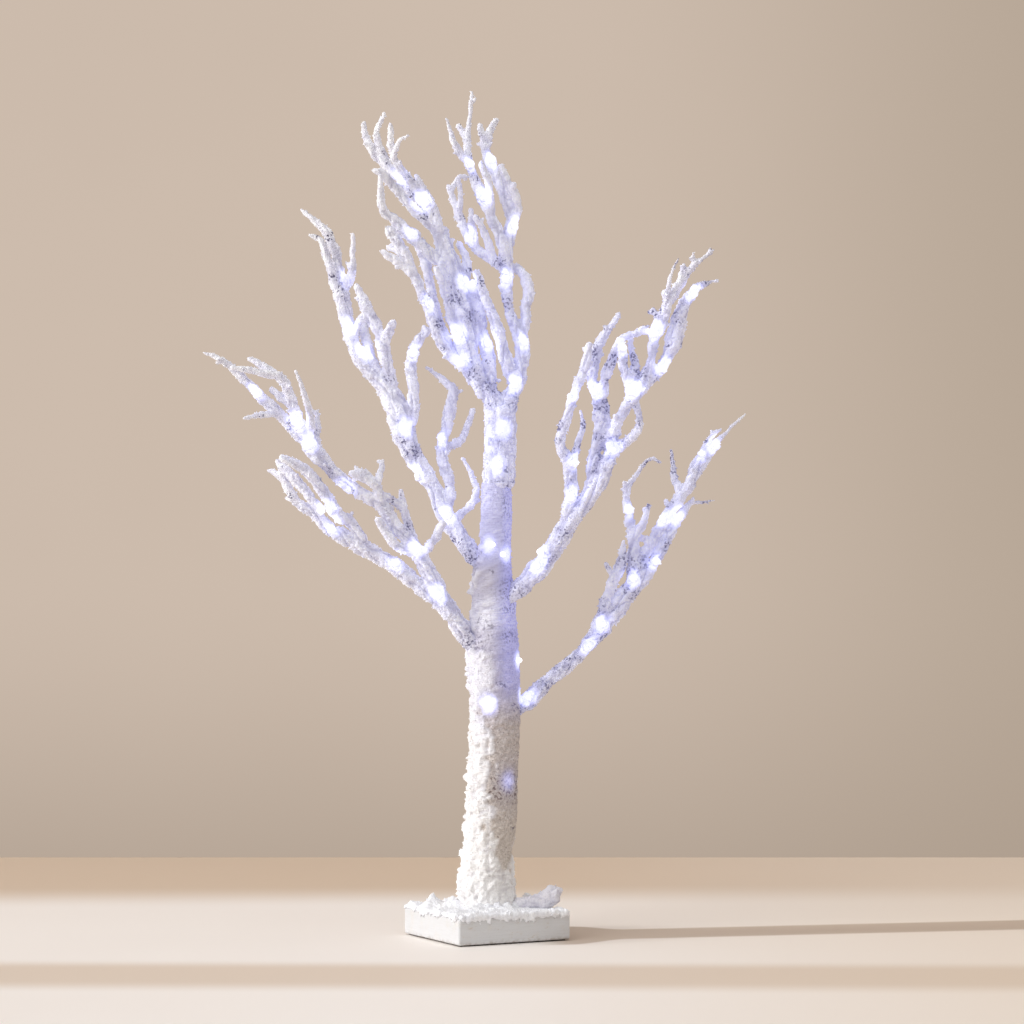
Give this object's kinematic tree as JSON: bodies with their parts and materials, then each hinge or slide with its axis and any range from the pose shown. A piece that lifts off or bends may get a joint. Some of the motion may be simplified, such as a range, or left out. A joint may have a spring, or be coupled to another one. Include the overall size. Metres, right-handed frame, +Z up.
{
  "type": "led light tree",
  "caption": "Table-top twig tree wrapped in imitation snow, with small lamps along bendable limbs, on a square base that holds its battery cells.",
  "frame": {"origin": "middle of the base's underside, on the face of the felt", "axes": "+Z up along the trunk, +X and +Y along the base's edges, with the timer switch on the +X side face. The tree is turned by -27.4 degrees about Z on its base"},
  "size_m": [0.4047, 0.2436, 0.6021],
  "materials": {
    "snow": "matte flock",
    "wrapping": "matte crepe",
    "paint": "painted",
    "felt": "felt",
    "steel": "plated",
    "wire": "annealed",
    "lamp": "clear",
    "plastic": "moulded",
    "dark_plastic": "moulded",
    "board": "lacquered",
    "cell": "sleeved"
  },
  "bodies": {
    "base": {"base_block": "paint", "base_felt": "felt", "snow_bed": "snow", "snow_clump": "snow", "battery_tray": "dark_plastic", "timer_board": "board", "timer_chip": "dark_plastic", "switch_housing": "steel", "base_lead": "dark_plastic", "trunk_washer": "steel", "trunk_nut": "steel", "cell_1": "cell", "cell_2": "cell", "cell_3": "cell", "contact_spring_1": "steel", "contact_spring_2": "steel", "contact_spring_3": "steel", "contact_plate_1": "steel", "contact_plate_2": "steel", "contact_plate_3": "steel", "board_screw_1": "steel", "board_screw_2": "steel", "trunk_rod": "steel", "trunk_wrap_lower": "wrapping", "trunk_wrap_upper": "snow", "trunk_lights": "lamp"},
    "cover": {"battery_cover": "plastic"},
    "knob": {"switch_knob": "dark_plastic"},
    "low_left": {"low_left_snow": "snow", "low_left_wire": "wire", "low_left_lights": "lamp"},
    "mid_left": {"mid_left_snow": "snow", "mid_left_wire": "wire", "mid_left_lights": "lamp"},
    "crown_left": {"crown_left_snow": "snow", "crown_left_wire": "wire", "crown_left_lights": "lamp"},
    "crown_right": {"crown_right_snow": "snow", "crown_right_wire": "wire", "crown_right_lights": "lamp"},
    "high_right": {"high_right_snow": "snow", "high_right_wire": "wire", "high_right_lights": "lamp"},
    "low_right": {"low_right_snow": "snow", "low_right_wire": "wire", "low_right_lights": "lamp"}
  },
  "joints": [
    {"name": "low_left_bend", "type": "hinge", "parent": "base", "child": "low_left", "pos_m": [-0.01041, -0.00036, 0.208], "axis": [-0.1288, -0.9917, 0], "range_deg": [-8, 18]},
    {"name": "mid_left_bend", "type": "hinge", "parent": "base", "child": "mid_left", "pos_m": [-0.00318, 0.00586, 0.267], "axis": [-0.7361, -0.6769, 0], "range_deg": [-2, 18]},
    {"name": "crown_left_bend", "type": "hinge", "parent": "base", "child": "crown_left", "pos_m": [0.00299, -0.00155, 0.381], "axis": [-0.4602, -0.8878, 0], "range_deg": [-2, 15]},
    {"name": "crown_right_bend", "type": "hinge", "parent": "base", "child": "crown_right", "pos_m": [0.01471, -0.00762, 0.381], "axis": [0.4602, 0.8878, 0], "range_deg": [-2, 15]},
    {"name": "high_right_bend", "type": "hinge", "parent": "base", "child": "high_right", "pos_m": [0.01293, -0.0117, 0.243], "axis": [0.7361, 0.6769, 0], "range_deg": [-6, 18]},
    {"name": "low_right_bend", "type": "hinge", "parent": "base", "child": "low_right", "pos_m": [0.02094, -0.00508, 0.162], "axis": [0.1288, 0.9917, 0], "range_deg": [-6, 18]},
    {"name": "cover_slide", "type": "slide", "parent": "base", "child": "cover", "axis": [1, 0, 0], "range_m": [0, 0.006]},
    {"name": "switch_slide", "type": "slide", "parent": "base", "child": "knob", "axis": [0, 1, 0], "range_m": [0, 0.005]}
  ]
}
